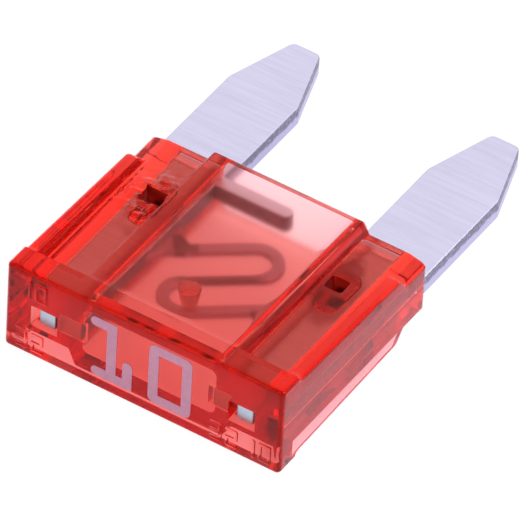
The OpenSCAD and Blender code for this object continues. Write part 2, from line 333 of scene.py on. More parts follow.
def housing_skin(edge_r, foot_r):
    """The housing's outer skin: body_height over a grid, once up and once down, and a wall between the two rims.

    Near the rim the surface falls by a quarter round. A corner's square of grid points is drawn
    into a quarter disc, so that the corner becomes part of a ball."""
    quarter = edge_r * np.sin(np.linspace(0, math.pi / 2, 8))
    half = lines((0, 2.6, 8), (2.6, 3.4, 40), (3.4, 4.8, 22), (4.8, 5.05, 22), (5.05, HALF_W - edge_r, 4))
    half = np.concatenate([half, HALF_W - edge_r + quarter[1:]])
    x_lines = np.concatenate([-half[:0:-1], half])
    y_lines = np.concatenate([
        edge_r - quarter[::-1],
        lines((edge_r, 0.9, 5), (0.9, 1.4, 34), (1.4, 4.9, 16), (4.9, 7.2, 44), (7.2, 7.9, 14),
              (7.9, BODY_L - foot_r, 8))[1:],
        BODY_L - foot_r + foot_r * np.sin(np.linspace(0, math.pi / 2, 5))[1:],
    ])
    x, y = np.meshgrid(x_lines, y_lines)
    over_x = np.maximum(np.abs(x) - (HALF_W - edge_r), 0) / edge_r
    over_front = np.maximum(edge_r - y, 0) / edge_r
    over_foot = np.maximum(y - (BODY_L - foot_r), 0) / foot_r
    over_y = np.maximum(over_front, over_foot)
    disc_x = over_x * np.sqrt(1 - over_y ** 2 / 2)
    disc_y = over_y * np.sqrt(1 - over_x ** 2 / 2)
    fall = 1 - np.sqrt(np.clip(1 - disc_x ** 2 - disc_y ** 2, 0, 1))
    corner_r = np.where(over_foot > 0, np.where(over_x > 0, (edge_r + foot_r) / 2, foot_r), edge_r)
    x = x - np.sign(x) * edge_r * (over_x - disc_x)
    y = y + np.where(over_front > 0, edge_r, -foot_r) * (over_y - disc_y)
    height = body_height(x, y) - corner_r * fall
    rows, cols = x.shape
    top = np.stack([x, y, height], -1).reshape(-1, 3)
    foot = top * (1, 1, -1)
    index = np.arange(rows * cols).reshape(rows, cols)
    rim = np.concatenate([index[0, :-1], index[:-1, -1], index[-1, :0:-1], index[:0:-1, 0]])
    steps = np.linspace(1, -1, 9)[1:-1]
    wall = (top[rim][None] * np.stack([np.ones(7), np.ones(7), steps], -1)[:, None]).reshape(-1, 3)
    first_wall = 2 * rows * cols
    wall_index = first_wall + np.arange(7 * len(rim)).reshape(7, -1)
    ladder = np.concatenate([rim[None], wall_index, (rim + rows * cols)[None]])
    turned = np.roll(ladder, -1, axis=1)
    wall_quads = np.stack([ladder[:-1], ladder[1:], turned[1:], turned[:-1]], -1).reshape(-1, 4)
    faces = np.concatenate([
        grid_quads(rows, cols), grid_quads(rows, cols, rows * cols)[:, ::-1], wall_quads,
    ])
    return make_object("housing_body", np.concatenate([top, foot, wall]), faces)


def cavity_tool():
    """The space inside: the cavity, which grows towards its mouth, the two leg slots and the two test windows.

    The plugs through the legs and the stub on the upper wall are cut out of it: they stay in the housing."""
    def wall_height(y):
        along = (y - CAVITY_FRONT_Y) / (BODY_L - CAVITY_FRONT_Y)
        return CAVITY_H[0] + (CAVITY_H[1] - CAVITY_H[0]) * along

    def cavity_section(y):
        h = wall_height(y)
        return rectangle(-CAVITY_X, CAVITY_X, -h, h, CAVITY_R)

    tool = along_y("cavity", cavity_section, [CAVITY_FRONT_Y, BODY_L + 0.1])
    slot_h = BLADE_H + SLOT_GAP

    def slot_section(y):
        h = slot_h + max(0, y - (BODY_L - LEAD))
        return rectangle(CAVITY_X - 0.2, LEG_OUTER_X + SLOT_GAP, -h, h, 0.03)

    half_x, half_z = WINDOW_HALF
    window = rectangle(WINDOW_X - half_x, WINDOW_X + half_x, -half_z, half_z, 0.04)
    for side in (1, -1):
        mirror = (side, 1)
        slot_ends = [LEG_TOP_Y - SLOT_GAP, BODY_L - LEAD, BODY_L + 0.1]
        combine(tool, "UNION", along_y("slot", lambda y: slot_section(y) * mirror, slot_ends))
        combine(tool, "UNION", along_y("window", lambda y: window * mirror, [-0.1, LEG_TOP_Y]))
        combine(tool, "DIFFERENCE", stake_bar("plug", side, 0, 0.6))
    stub_rings = [(r, wall_height(STUB[1]) + z) for r, z in STUB_PROFILE]
    return combine(tool, "DIFFERENCE", round_bar("stub", *STUB, stub_rings))


def round_bar(name, x, y, profile, around=40):
    """A turned bar upright at (x, y): each (radius, height) of the profile is a ring."""
    angle = np.linspace(0, 2 * math.pi, around, endpoint=False)
    rings = [np.stack([x + r * np.cos(angle), y + r * np.sin(angle), np.full(around, z)], 1) for r, z in profile]
    return lofted(name, np.array(rings))


def stake_bar(name, side, gap, half_z):
    """The oblong bar of one stake, upright through its leg and wider by the gap all round."""
    x, y = PLUG[0] + gap, PLUG[1] + gap
    outline = rounded_path([(-x, -y), (x, -y), (x, y), (-x, y)], [0.99 * x] * 4, 10)
    outline = outline + (side * STAKE[0], STAKE[1])
    rings = [np.column_stack([outline, np.full(len(outline), z)]) for z in (-half_z, half_z)]
    return lofted(name, np.array(rings))


def pit_tool(x, half_x, half_y, face, rough):
    """A punched pit: a rounded rectangle that narrows downwards, with its walls torn by short waves."""
    depth = np.linspace(0, 1, 12)
    base = rounded_path([(-1, -1), (1, -1), (1, 1), (-1, 1)], [0.35] * 4, 10)
    turn = np.arctan2(base[:, 1], base[:, 0])
    rings = []
    for t in depth:
        scale = 0.8 + 0.25 * t + rough * np.sin(3 * turn + 5 * t) * np.cos(5 * turn - 4 * t)
        z = PIT_FLOOR + (1.5 - PIT_FLOOR) * t
        dent = 0.05 * rough * np.sin(7 * turn) if t == 0 else 0
        ring = base * scale[:, None] * (half_x, half_y)
        height = (z + dent) * np.full(len(ring), face)
        rings.append(np.column_stack([ring[:, 0] + x, ring[:, 1] + STAKE[1], height]))
    return lofted("pit", np.array(rings))


def relief_strokes():
    """Ends of each stroke of the small raised numerals, in x and z on the head's face."""
    w, h = 0.36, 0.66
    points = {"a": (0, h, w, h), "b": (w, h, w, h / 2), "c": (w, h / 2, w, 0), "d": (0, 0, w, 0),
              "e": (0, 0, 0, h / 2), "f": (0, h / 2, 0, h), "g": (0, h / 2, w, h / 2)}
    digits = {0: "abcdef", 1: "bc", 2: "abged", 3: "abgcd"}
    groups = [((3, 2), -4.94, -1.49), ((1, 0), -4.84, 0.78), ((3, 2), 2.76, -1.49), ((1, 0), 4.06, -1.49)]
    strokes = []
    for numbers, x, z in groups:
        for place, number in enumerate(numbers):
            for key in digits[number]:
                x0, z0, x1, z1 = points[key]
                left = x + place * 0.62
                strokes.append((left + x0, z + z0, left + x1, z + z1))
    return strokes


def relief_bar(x0, z0, x1, z1):
    """One raised stroke: a round-backed bar with round ends, sunk a little into the face.

    Each ring is the bar's outline drawn in as a quarter of an ellipse rises from the face."""
    r = 0.075
    along = np.array([x1 - x0, z1 - z0]) / math.hypot(x1 - x0, z1 - z0)
    turn = math.atan2(along[1], along[0])
    angle = np.linspace(-math.pi / 2, math.pi / 2, 6)
    round_end = np.stack([np.cos(turn + angle), np.sin(turn + angle)], 1)
    rings = []
    for radius, y in ((1, 0.03), (1, 0), (0.87, -0.5), (0.7, -0.73), (0.45, -0.9), (0.15, -0.99)):
        outline = np.concatenate([(x1, z1) + round_end * r * radius, (x0, z0) - round_end * r * radius])
        depth = y if y > 0 else y * RELIEF_H
        rings.append(np.column_stack([outline[:, 0], np.full(len(outline), depth), outline[:, 1]]))
    return lofted("stroke", np.array(rings))


# Element

def leg_and_blade(side):
    """Half of the element's outline: test tab, shoulder, leg, the step out to the blade, and the tapered tip."""
    tab_x, tab_half, tab_y = TAB
    blade_x = (BLADE_INNER_X + BLADE_OUTER_X) / 2
    step_y = BODY_L + SLOT_GAP
    corners = [
        (tab_x - tab_half, LEG_TOP_Y), (tab_x - tab_half, tab_y),
        (tab_x + tab_half, tab_y), (tab_x + tab_half, LEG_TOP_Y),
        (LEG_OUTER_X, LEG_TOP_Y), (LEG_OUTER_X, step_y), (BLADE_OUTER_X, step_y),
        (BLADE_OUTER_X, TIP_Y - TAPER_L), (blade_x + TIP_HALF, TIP_Y), (blade_x - TIP_HALF, TIP_Y),
        (BLADE_INNER_X, TIP_Y - TAPER_L), (BLADE_INNER_X, LEG_TOP_Y),
    ]
    radii = [0.03, 0.06, 0.06, 0.03, 0.08, 0.03, 0.1, 0.5, 0.26, 0.26, 0.5, 0.08]
    outline = rounded_path(corners, radii)
    if side < 0:
        outline = (outline * (-1, 1))[::-1]
    return outline


def link_path():
    """Centre line of the link, three slanting runs and two half circles, and its half width at each point."""
    turn = np.linspace(-math.pi / 2, math.pi / 2, 25)
    middle = np.column_stack([np.linspace(0, LINK_REACH, 12, endpoint=False), np.zeros(12)])
    bend = np.column_stack([LINK_REACH + BEND_R * np.cos(turn), BEND_R + BEND_R * np.sin(turn)])
    outer = np.column_stack([np.linspace(LINK_REACH, -1.1, 24)[1:], np.full(23, 2 * BEND_R)])
    half = np.concatenate([middle, bend, outer])
    c, s = math.cos(LINK_ANGLE), math.sin(LINK_ANGLE)
    half = half @ np.array([[c, s], [-s, c]])
    steps = np.linalg.norm(np.diff(half, axis=0), axis=1)
    length = np.concatenate([[0], np.cumsum(steps)])
    width = LINK_NECK_HALF + (LINK_HALF - LINK_NECK_HALF) * np.clip((length - LINK_REACH + 0.1) / 0.5, 0, 1)
    points = np.concatenate([-half[:0:-1], half]) + (0, LINK_Y)
    return points, np.concatenate([width[:0:-1], width])


def link_strip():
    """The link: a rounded rectangle of changing width carried along its centre line."""
    points, width = link_path()
    tangent = np.gradient(points, axis=0)
    tangent /= np.linalg.norm(tangent, axis=1)[:, None]
    normal = np.stack([-tangent[:, 1], tangent[:, 0]], 1)
    angle = np.linspace(0, 2 * math.pi, 28, endpoint=False)
    across = np.sign(np.cos(angle)) * np.abs(np.cos(angle)) ** 0.3
    upward = np.sign(np.sin(angle)) * np.abs(np.sin(angle)) ** 0.3
    plan = points[:, None] + normal[:, None] * (across[None, :, None] * width[:, None, None])
    height = np.broadcast_to(LINK_H * upward, plan.shape[:2])
    return lofted("link", np.concatenate([plan, height[..., None]], -1))


def link_root(half_turn):
    """Where the link's outer run spreads onto the edge of its leg, with a hollow curve on both sides."""
    c, s = math.cos(LINK_ANGLE), math.sin(LINK_ANGLE)
    upper, lower = ((u * c - n * s, u * s + n * c)
                    for u, n in ((-0.9, 2 * BEND_R + LINK_HALF), (-0.55, 2 * BEND_R - LINK_HALF)))
    edge, inner = -BLADE_INNER_X, -BLADE_INNER_X - 0.2
    corners = [upper, (edge + 0.35, 1.05), (edge, 1.55), (inner, 1.55), (inner, -0.6), (edge, -0.6),
               (edge + 0.35, -0.05), lower]
    outline = rounded_path(corners, [0, 0.35, 0, 0, 0, 0, 0.35, 0], 8)
    return plate("root", (-outline if half_turn else outline) + (0, LINK_Y), -LINK_H, LINK_H, 0.03, 0.02)


# Materials

WHITE = (1, 1, 1, 1)

# Housing: half sizes of the torn patch over a plug, how far each side's patch is turned and how ragged
# its rim is, the roughness of each kind of surface, and the tints of painted shade on some of them
TORN_HALF = (0.62, 1.35)
TORN_SIDES = ((1, 0, 0.5), (-1, 0.55, 1.6))
POLISHED, SCRATCHED = 0.03, 0.12
SURFACE_ROUGHNESS = {"Pits": 0.35, "Torn": 0.3, "Stub": 0.9}
# Painted shade: tints that darken the light through the cavity's sides beside the legs, the head's two ends, the
# torn patches, the panels' sloping walls and the pits
PAINTED_SHADE_TINTS = {
    "Sides": (0.45, 0.8, 0.9, 1),
    "Ends": (0.5, 0.25, 0.25, 1),
    "Torn": (0.4, 0.13, 0.12, 1),
    "Walls": (0.3, 0.003, 0.003, 1),
    "Pits": (0.06, 0.02, 0.02, 1),
}

# Element: tones that multiply the metal's colour, and tones of its parts inside the plastic
STREAK_TONE = (0.8, 0.8, 0.84, 1)
BURNISHED_TONE = (0.72, 0.72, 0.76, 1)
# Painted shade, multiplied onto the link's roots and thin middle run
LINK_SHADE_TONE = (0.5, 0.48, 0.46, 1)
# The link's darker tone in the cavity is painted shade
LINK_SHADED_COLOUR = (0.52, 0.36, 0.5, 1)
# The leg tops' deep red is a painted reflection of the red plastic round them
LEG_TOP_REFLECTION_COLOUR = (0.5, 0.12, 0.1, 1)
TAB_END_COLOUR = (0.45, 0.53, 0.58, 1)
# Where the link's painted shade lies: a spot at each root and along the middle run
LINK_SHADE_SPOTS = (((-1.45, 1.33, -0.3), (-0.62, 2.2, 0.3)), ((0.84, -2.14, -0.3), (1.07, -1.65, 0.3)))
LINK_SHADE_RUN = ((-2, -0.24, -0.3), (2, 0.24, 0.3))

# Floor: how much it glows for each kind of ray, and its tones beside and in the camera's own view
FLOOR_GLOW = {"Is Camera Ray": 0.95, "Is Glossy Ray": 0.35, "Is Transmission Ray": 0.68}
GLOW_THROUGH_PLASTIC = (1, 0.97, 1.3, 1)
MATTE_BESIDE = (0.75, 0.75, 0.75, 1)
MATTE_IN_VIEW = (0.08, 0.08, 0.08, 1)
WORLD_LIGHT = 0.6

# Lamps: name, place, size in metres and power in watts
LAMPS = (("key", (0.4, 0.08, 0.34), 0.45, 2.4), ("front", (-0.12, -0.35, 0.16), 0.3, 0.4))
LIGHT_BOUNCES = 40


class Tree:
    """A shader node tree under construction. Values are outputs of nodes, or plain ones."""

    def __init__(self, tree):
        self.nodes, self.links = tree.nodes, tree.links

    def add(self, kind, values=(), **options):
        """A node of a kind with its options, its sockets set or linked by name or number."""
        node = self.nodes.new("ShaderNode" + kind)
        for option, choice in options.items():
            setattr(node, option, choice)
        for socket, value in dict(values).items():
            if isinstance(value, bpy.types.NodeSocket):
                self.links.new(value, node.inputs[socket])
            else:
                node.inputs[socket].default_value = value
        return node

    def math(self, operation, *values):
        """Result of a Math node."""
        return self.add("Math", enumerate(values), operation=operation).outputs[0]

    def vector(self, operation, *values):
        """Result of a Vector Math node."""
        node = self.add("VectorMath", enumerate(values), operation=operation)
        return node.outputs["Value" if operation == "LENGTH" else "Vector"]

    def mix(self, factor, a, b, blend="MIX"):
        """A colour between a and b, or with another blend a changed by b."""
        values = {"Factor": factor, "A": a, "B": b}
        return self.add("Mix", values, data_type="RGBA", blend_type=blend).outputs["Result"]

    def ramp(self, value, low, high, to_low, to_high):
        """The value carried from one range to another, and held at its ends."""
        labels = ("Value", "From Min", "From Max", "To Min", "To Max")
        return self.add("MapRange", zip(labels, (value, low, high, to_low, to_high))).outputs["Result"]

    def noise(self, place, scale, detail, roughness):
        """A 3D noise texture."""
        values = {"Vector": place, "Scale": scale, "Detail": detail, "Roughness": roughness}
        return self.add("TexNoise", values).outputs["Fac"]

    def mapping(self, place, scale, turn=0):
        """The place scaled, and then turned about Z."""
        values = {"Vector": place, "Scale": scale, "Rotation": (0, 0, turn)}
        return self.add("Mapping", values).outputs["Vector"]

    def split(self, vector):
        """X, Y and Z of a vector."""
        return self.add("SeparateXYZ", {0: vector}).outputs

    def place(self):
        """The object's own coordinates, in metres."""
        return self.add("TexCoord").outputs["Object"]

    def highest(self, values):
        """The highest of several values."""
        highest, *others = values
        for value in others:
            highest = self.math("MAXIMUM", highest, value)
        return highest

    def box(self, place, low, high):
        """Mask of a box: the largest of the three distances past its half sizes, as 1 where it is below zero."""
        low, high = np.array(low) * MM, np.array(high) * MM
        distance = self.vector("ABSOLUTE", self.vector("SUBTRACT", place, (low + high) / 2))
        past = self.vector("SUBTRACT", distance, (high - low) / 2)
        return self.math("LESS_THAN", self.highest(self.split(past)), 0)

    def fuse_box(self, place, x, y, z):
        """Mask of a box given by its (low, high) along each axis, about the fuse's own planes."""
        low, high = np.stack([x, y, z], 1) + (0, FACE_Y, MID_Z)
        return self.box(place, low, high)


def new_material(name):
    """An empty node material and its tree."""
    material = bpy.data.materials.new(name)
    material.use_nodes = True
    material.node_tree.nodes.clear()
    return material, Tree(material.node_tree)


def new_group(name, inputs, outputs):
    """A shader node group, its tree, its inputs and its outputs.

    Inputs are given as (name, kind, default), outputs as (name, kind)."""
    group = bpy.data.node_groups.new(name, "ShaderNodeTree")
    for label, kind, default in inputs:
        socket = group.interface.new_socket(label, in_out="INPUT", socket_type="NodeSocket" + kind)
        socket.default_value = default
    for label, kind in outputs:
        group.interface.new_socket(label, in_out="OUTPUT", socket_type="NodeSocket" + kind)
    entry, leave = group.nodes.new("NodeGroupInput"), group.nodes.new("NodeGroupOutput")
    return group, Tree(group), entry.outputs, leave.inputs


def moulded_surface_group():
    """Slow waviness and faint handling scratches of a polished moulding, as a height and a roughness mask."""
    group, tree, entry, leave = new_group(
        "moulded surface",
        [("Waviness", "Float", 1.0), ("Scratches", "Float", 1.0)], [("Height", "Float"), ("Haze", "Float")])
    place = tree.place()
    wavy = tree.math("MULTIPLY", tree.noise(place, 420, 2, 0.4), entry["Waviness"])
    scratch = tree.noise(tree.mapping(place, (6.0, 0.35, 1.0), 0.5), 900, 4, 0.6)
    marks = tree.math("MULTIPLY", tree.ramp(scratch, 0.62, 0.72, 0, 1), entry["Scratches"])
    scratch_depth = -0.15
    tree.links.new(tree.math("MULTIPLY_ADD", marks, scratch_depth, wavy), leave["Height"])
    tree.links.new(marks, leave["Haze"])
    return group


def torn_patches(tree, place):
    """Mask of the plastic over each plug, outside the leg: an ellipse round the stake with a ragged rim."""
    crumple = tree.noise(place, 2600, 3, 0.6)
    patches = []
    for side, turn, ragged in TORN_SIDES:
        stake = (side * STAKE[0] * MM, (STAKE[1] + FACE_Y) * MM, 0)
        turned = tree.mapping(tree.vector("SUBTRACT", place, stake), (1, 1, 0), turn)
        scaled = tree.mapping(turned, (1 / (TORN_HALF[0] * MM), 1 / (TORN_HALF[1] * MM), 0))
        rim = tree.math("MULTIPLY_ADD", crumple, ragged, tree.vector("LENGTH", scaled))
        patches.append(tree.ramp(rim, 1.1, 1.45, 1, 0))
    height = tree.split(place)["Z"]
    above = tree.ramp(height, (MID_Z + 0.45) * MM, (MID_Z + 0.55) * MM, 0, 1)
    below = tree.ramp(height, (MID_Z - 0.55) * MM, (MID_Z - 0.45) * MM, 1, 0)
    return tree.math("MULTIPLY", tree.highest(patches), tree.highest([above, below]))


def head_ends(tree, place):
    """Mask of the head's face that grows towards its two ends, where painted shade darkens the face."""
    where = tree.split(place)
    across = tree.ramp(tree.math("ABSOLUTE", where["X"]), 4.1 * MM, 4.9 * MM, 0, 1)
    return tree.math("MULTIPLY", across, tree.ramp(where["Y"], FACE_Y * MM, (FACE_Y + 0.1) * MM, 1, 0))


def housing_surfaces_group():
    """Masks of the housing's surfaces, apart from its polished outside.

    Inside is the cavity and the slots, Pits the punched pits, Torn the plastic over the plugs, Stub the
    stub in the cavity, Walls the panels' sloping walls, Sides the cavity's side walls above and below
    the legs, and Ends the two ends of the head's face."""
    group, tree, _, leave = new_group(
        "inner surfaces", [],
        [(label, "Float") for label in ("Inside", "Pits", "Torn", "Stub", "Walls", "Sides", "Ends")])
    place = tree.place()

    def boxes(*ranges):
        return tree.highest([tree.fuse_box(place, *box) for box in ranges])

    def near(middle, reach):
        return middle - reach, middle + reach

    past_slot = LEG_OUTER_X + 0.06
    foot = BODY_L - 0.02
    masks = {
        "Inside": boxes((near(0, CAVITY_X + 0.03), (CAVITY_FRONT_Y - 0.03, foot), near(0, 1.3)),
                        (near(0, past_slot), (0.04, foot), near(0, 0.5))),
        "Pits": boxes(*[(near(side * STAKE[0], 0.5), near(STAKE[1], 0.5), (low, low + 0.71))
                        for side in (1, -1) for low in (0.45, -1.16)]),
        "Torn": torn_patches(tree, place),
        "Stub": boxes((near(STUB[0], 0.45), near(STUB[1], 0.45), (0.2, 0.97))),
        "Walls": boxes(*[(x, (HEAD_L + 0.1, BODY_L - 0.08), (GROOVE_H + 0.06, PANEL_H - 0.1))
                         for x in ((PANEL_X - 0.02, PANEL_BASE_X), (-PANEL_BASE_X, 0.02 - PANEL_X))]),
        "Sides": boxes(*[(near(side * CAVITY_X, 0.03), (CAVITY_FRONT_Y + 0.1, BODY_L - 0.3), (low, low + 0.75))
                         for side in (1, -1) for low in (0.4, -1.15)]),
        "Ends": head_ends(tree, place),
    }
    for label, mask in masks.items():
        tree.links.new(mask, leave[label])
    return group


def housing_material(settings):
    """Clear red plastic: a dielectric, polished outside and duller inside, with the dye's absorption in it.

    Some surfaces are tinted darker besides, as painted shade, and a red specular tint paints shade onto the
    reflections."""
    material, tree = new_material("clear_red_plastic")
    masks = tree.add("Group", node_tree=housing_surfaces_group()).outputs
    surface = tree.add("Group", node_tree=moulded_surface_group()).outputs
    relief = tree.add("Bump", {"Height": surface["Height"], "Strength": 0.12, "Distance": 0.00002})
    finishes = [
        tree.ramp(surface["Haze"], 0, 1, POLISHED, SCRATCHED),
        tree.ramp(masks["Inside"], 0, 1, 0, settings.inner_roughness),
    ]
    finishes += [tree.ramp(masks[label], 0, 1, 0, level) for label, level in SURFACE_ROUGHNESS.items()]
    colour = WHITE
    # Painted shade, tinted onto each kind of surface
    for label, tint in PAINTED_SHADE_TINTS.items():
        colour = tree.mix(masks[label], colour, tint)
    # The red specular tint dims the pale surround in the reflections: painted shade in place of darker
    # surroundings
    shader = tree.add("BsdfPrincipled", {
        "IOR": settings.refraction, "Transmission Weight": 1, "Specular Tint": (1, 0.12, 0.08, 1),
        "Base Color": colour, "Roughness": tree.highest(finishes), "Normal": relief.outputs["Normal"]})
    dye = tree.add("VolumeAbsorption", {"Color": (*settings.dye, 1), "Density": settings.dye_density})
    tree.add("OutputMaterial", {"Surface": shader.outputs["BSDF"], "Volume": dye.outputs["Volume"]})
    return material


def painted_link_shade(tree, place):
    """Mask of the painted shade on the link, in axes along its runs: its thin middle run and a spot at each root.
    """
    centre = (0, (FACE_Y + LINK_Y) * MM, MID_Z * MM)
    along = tree.mapping(tree.vector("SUBTRACT", place, centre), (1, 1, 1), -LINK_ANGLE)
    spots = [tree.box(along, *spot) for spot in LINK_SHADE_SPOTS]
    reach = tree.math("ABSOLUTE", tree.split(along)["X"])
    fading = tree.ramp(reach, 1.1 * MM, 1.6 * MM, 1, 0)
    return tree.highest(spots + [tree.math("MULTIPLY", fading, tree.box(along, *LINK_SHADE_RUN))])


def strip_metal_group():
    """Rolled strip: fine lines along one direction, dull patches, and the bands of a sheared edge.

    The bands follow the height through the strip: bright and smooth below, dark and torn above.
    Inside the housing the edges are dark all over, as painted shade, and link, leg tops and tab ends have tones of
    their own there: painted shade on the link, darker at its roots and middle run, and a painted red reflection of
    the plastic on the leg tops."""
    group, tree, entry, leave = new_group(
        "rolled strip",
        [("Face", "Color", (0.8, 0.8, 0.86, 1)), ("Edge", "Color", (0.4, 0.4, 0.45, 1)), ("Middle", "Float", 0.0)],
        [("Colour", "Color"), ("Roughness", "Float"), ("Height", "Float")])
    place = tree.place()
    where = tree.split(place)
    rolled = tree.noise(tree.mapping(place, (0.5, 9.0, 1.0), 0.06), 750, 6, 0.7)
    patches = tree.noise(place, 700, 3, 0.6)
    speck = tree.noise(place, 5200, 2, 0.5)
    steep = tree.math("ABSOLUTE", tree.split(tree.add("NewGeometry").outputs["Normal"])["Z"])
    # The rolled edges fall inside this side mask, so they take the edge's dark tone too: painted shade that dims
    # their glint
    side = tree.ramp(steep, 0.6, 0.96, 1, 0)
    torn = tree.noise(tree.mapping(place, (1.6, 1.6, 0.25)), 2600, 3, 0.6)
    level = tree.math("SUBTRACT", where["Z"], entry["Middle"])
    torn_band = tree.ramp(tree.math("MULTIPLY_ADD", torn, 0.3 * MM, level), 0.1 * MM, 0.22 * MM, 0, 1)
    housed = tree.math("LESS_THAN", where["Y"], (FACE_Y + BODY_L) * MM)
    streaks = tree.ramp(rolled, 0.35, 0.62, 0.5, 0)
    face = tree.mix(streaks, entry["Face"], STREAK_TONE, "MULTIPLY")
    burnished = tree.mix(1, entry["Face"], BURNISHED_TONE, "MULTIPLY")
    grain = tree.ramp(tree.noise(place, 9000, 3, 0.7), 0.5, 0.75, 0, 0.8)
    # Inside the housing the whole edge takes the dark torn tone: painted shade
    edge = tree.mix(tree.highest([torn_band, housed]), burnished, tree.mix(grain, entry["Edge"], burnished))
    colour = tree.mix(side, face, edge)
    through = (-MID_Z, MID_Z)
    past_legs = LEG_OUTER_X + 0.1
    # Tones of the parts inside the plastic: painted shade on the link in the cavity, a painted red reflection of
    # the plastic on the leg tops, and a lighter grey-blue on the tab ends
    parts = (
        ((-BLADE_INNER_X, BLADE_INNER_X), (CAVITY_FRONT_Y, BODY_L - TIE_W - 0.1), LINK_SHADED_COLOUR),
        ((-past_legs, past_legs), (LEG_TOP_Y - 0.06, LEG_TOP_Y + 0.02), LEG_TOP_REFLECTION_COLOUR),
        ((-LEG_OUTER_X, LEG_OUTER_X), (TAB[2] - 0.05, TAB[2] + 0.03), TAB_END_COLOUR),
    )
    for x, y, tone in parts:
        colour = tree.mix(tree.fuse_box(place, x, y, through), colour, tone)
    # Painted shade, multiplied onto the link's roots and middle run
    colour = tree.mix(painted_link_shade(tree, place), colour, LINK_SHADE_TONE, "MULTIPLY")
    tree.links.new(colour, leave["Colour"])
    finish = tree.math("MULTIPLY_ADD", patches, 0.22, tree.ramp(side, 0, 1, 0.24, 0.36))
    tree.links.new(finish, leave["Roughness"])
    relief = tree.math("ADD", rolled, tree.ramp(speck, 0.35, 0.65, 0, 0.35))
    tree.links.new(relief, leave["Height"])
    return group


def element_material(settings):
    """Tin-plated zinc strip with rolling lines on its faces and sheared edges."""
    material, tree = new_material("tinned_strip")
    tones = {"Face": (*settings.face_colour, 1), "Edge": (*settings.edge_colour, 1), "Middle": MID_Z * MM}
    strip = tree.add("Group", tones, node_tree=strip_metal_group()).outputs
    relief = tree.add("Bump", {"Height": strip["Height"], "Strength": 0.35, "Distance": 0.00001})
    shader = tree.add("BsdfPrincipled", {
        "Metallic": 1, "Base Color": strip["Colour"], "Roughness": strip["Roughness"],
        "Normal": relief.outputs["Normal"]})
    tree.add("OutputMaterial", {"Surface": shader.outputs["BSDF"]})
    return material


def ink_material(settings):
    """Pale ink, a little thinner in small specks, with a dull surface."""
    material, tree = new_material("rating_ink")
    speck = tree.ramp(tree.noise(tree.place(), 6000, 3, 0.6), 0.35, 0.7, 0, 1)
    thin = 0.86
    tone = tree.mix(speck, (*settings.ink_colour, 1), (*[thin * c for c in settings.ink_colour], 1))
    shader = tree.add("BsdfPrincipled", {"Roughness": 0.55, "Base Color": tone})
    tree.add("OutputMaterial", {"Surface": shader.outputs["BSDF"]})
    return material


def floor_material():
    """White floor: nearly all glow where the camera sees it, and part matte where plastic or metal shows it.

    The matte part takes the fuse's shadow, faint in the open and plain through the plastic."""
    material, tree = new_material("studio_floor")
    path = tree.add("LightPath").outputs
    in_view = path["Is Camera Ray"]
    strength = tree.highest([tree.ramp(path[ray], 0, 1, 0, level) for ray, level in FLOOR_GLOW.items()])
    glow = tree.add("Emission", {"Color": tree.mix(in_view, GLOW_THROUGH_PLASTIC, WHITE), "Strength": strength})
    matte = tree.add("BsdfDiffuse", {"Color": tree.mix(in_view, MATTE_BESIDE, MATTE_IN_VIEW)})
    both = tree.add("AddShader", {0: glow.outputs["Emission"], 1: matte.outputs["BSDF"]})
    tree.add("OutputMaterial", {"Surface": both.outputs["Shader"]})
    return material


# Settings

class FuseHousingSettings(bpy.types.PropertyGroup):
    """Shape and finish of the moulded housing."""

    edge_radius: FloatProperty(
        name="Edge radius", description="Rounding of the housing's outer edges, in millimetres",
        default=0.17, min=0.05, max=0.25)
    foot_radius: FloatProperty(
        name="Foot radius", description="Rounding of the edges at the foot, in millimetres",
        default=0.06, min=0.02, max=0.1)
    refraction: FloatProperty(
        name="Refraction", description="Index of refraction of the plastic", default=1.58, min=1.3, max=1.7)
    inner_roughness: FloatProperty(
        name="Inner roughness", description="Roughness of the surfaces inside the housing", subtype="FACTOR",
        default=0.22, min=0, max=1)
    dye: FloatVectorProperty(
        name="Dye", description="Colour that the plastic lets through", subtype="COLOR", size=3,
        default=(0.972, 0.2, 0.04), min=0, max=1)
    dye_density: FloatProperty(
        name="Dye density", description="Absorption of the dye per metre", default=1400, min=0, max=5000)


class FuseElementSettings(bpy.types.PropertyGroup):
    """Finish of the stamped element and the print."""

    top_roll: FloatProperty(
        name="Top roll", description="Rounding of the stamped edge on the upper face, in millimetres",
        default=0.06, min=0.01, max=0.15)
    foot_roll: FloatProperty(
        name="Foot roll", description="Rounding of the stamped edge on the lower face, in millimetres",
        default=0.025, min=0.01, max=0.15)
    face_colour: FloatVectorProperty(
        name="Face colour", description="Colour of the plated faces", subtype="COLOR", size=3,
        default=(0.7, 0.67, 0.86), min=0, max=1)
    edge_colour: FloatVectorProperty(
        name="Edge colour", description="Colour of the torn part of the sheared edges", subtype="COLOR", size=3,
        default=(0.2, 0.19, 0.25), min=0, max=1)
    ink_colour: FloatVectorProperty(
        name="Ink colour", description="Colour of the printed rating", subtype="COLOR", size=3,
        default=(0.58, 0.26, 0.38), min=0, max=1)


class FuseStudioSettings(bpy.types.PropertyGroup):
    """Camera and light."""

    azimuth: FloatProperty(
        name="Azimuth", description="Camera's direction round the fuse", subtype="ANGLE",
        default=math.radians(30.640))
    elevation: FloatProperty(
        name="Elevation", description="Camera's height over the floor, as an angle", subtype="ANGLE",
        default=math.radians(42.614))
    roll: FloatProperty(
        name="Roll", description="Camera's turn about its own axis", subtype="ANGLE",
        default=math.radians(3.500))
    distance: FloatProperty(
        name="Distance", description="Distance from the camera to the fuse", subtype="DISTANCE",
        default=0.34083)
    lens: FloatProperty(
        name="Lens", description="Focal length in millimetres on a 36 mm sensor", default=708.03)
    aim: FloatVectorProperty(
        name="Aim", description="Point that the camera looks at", subtype="XYZ", size=3,
        default=(0.000274, -0.001379, 0.00185))


# Operators

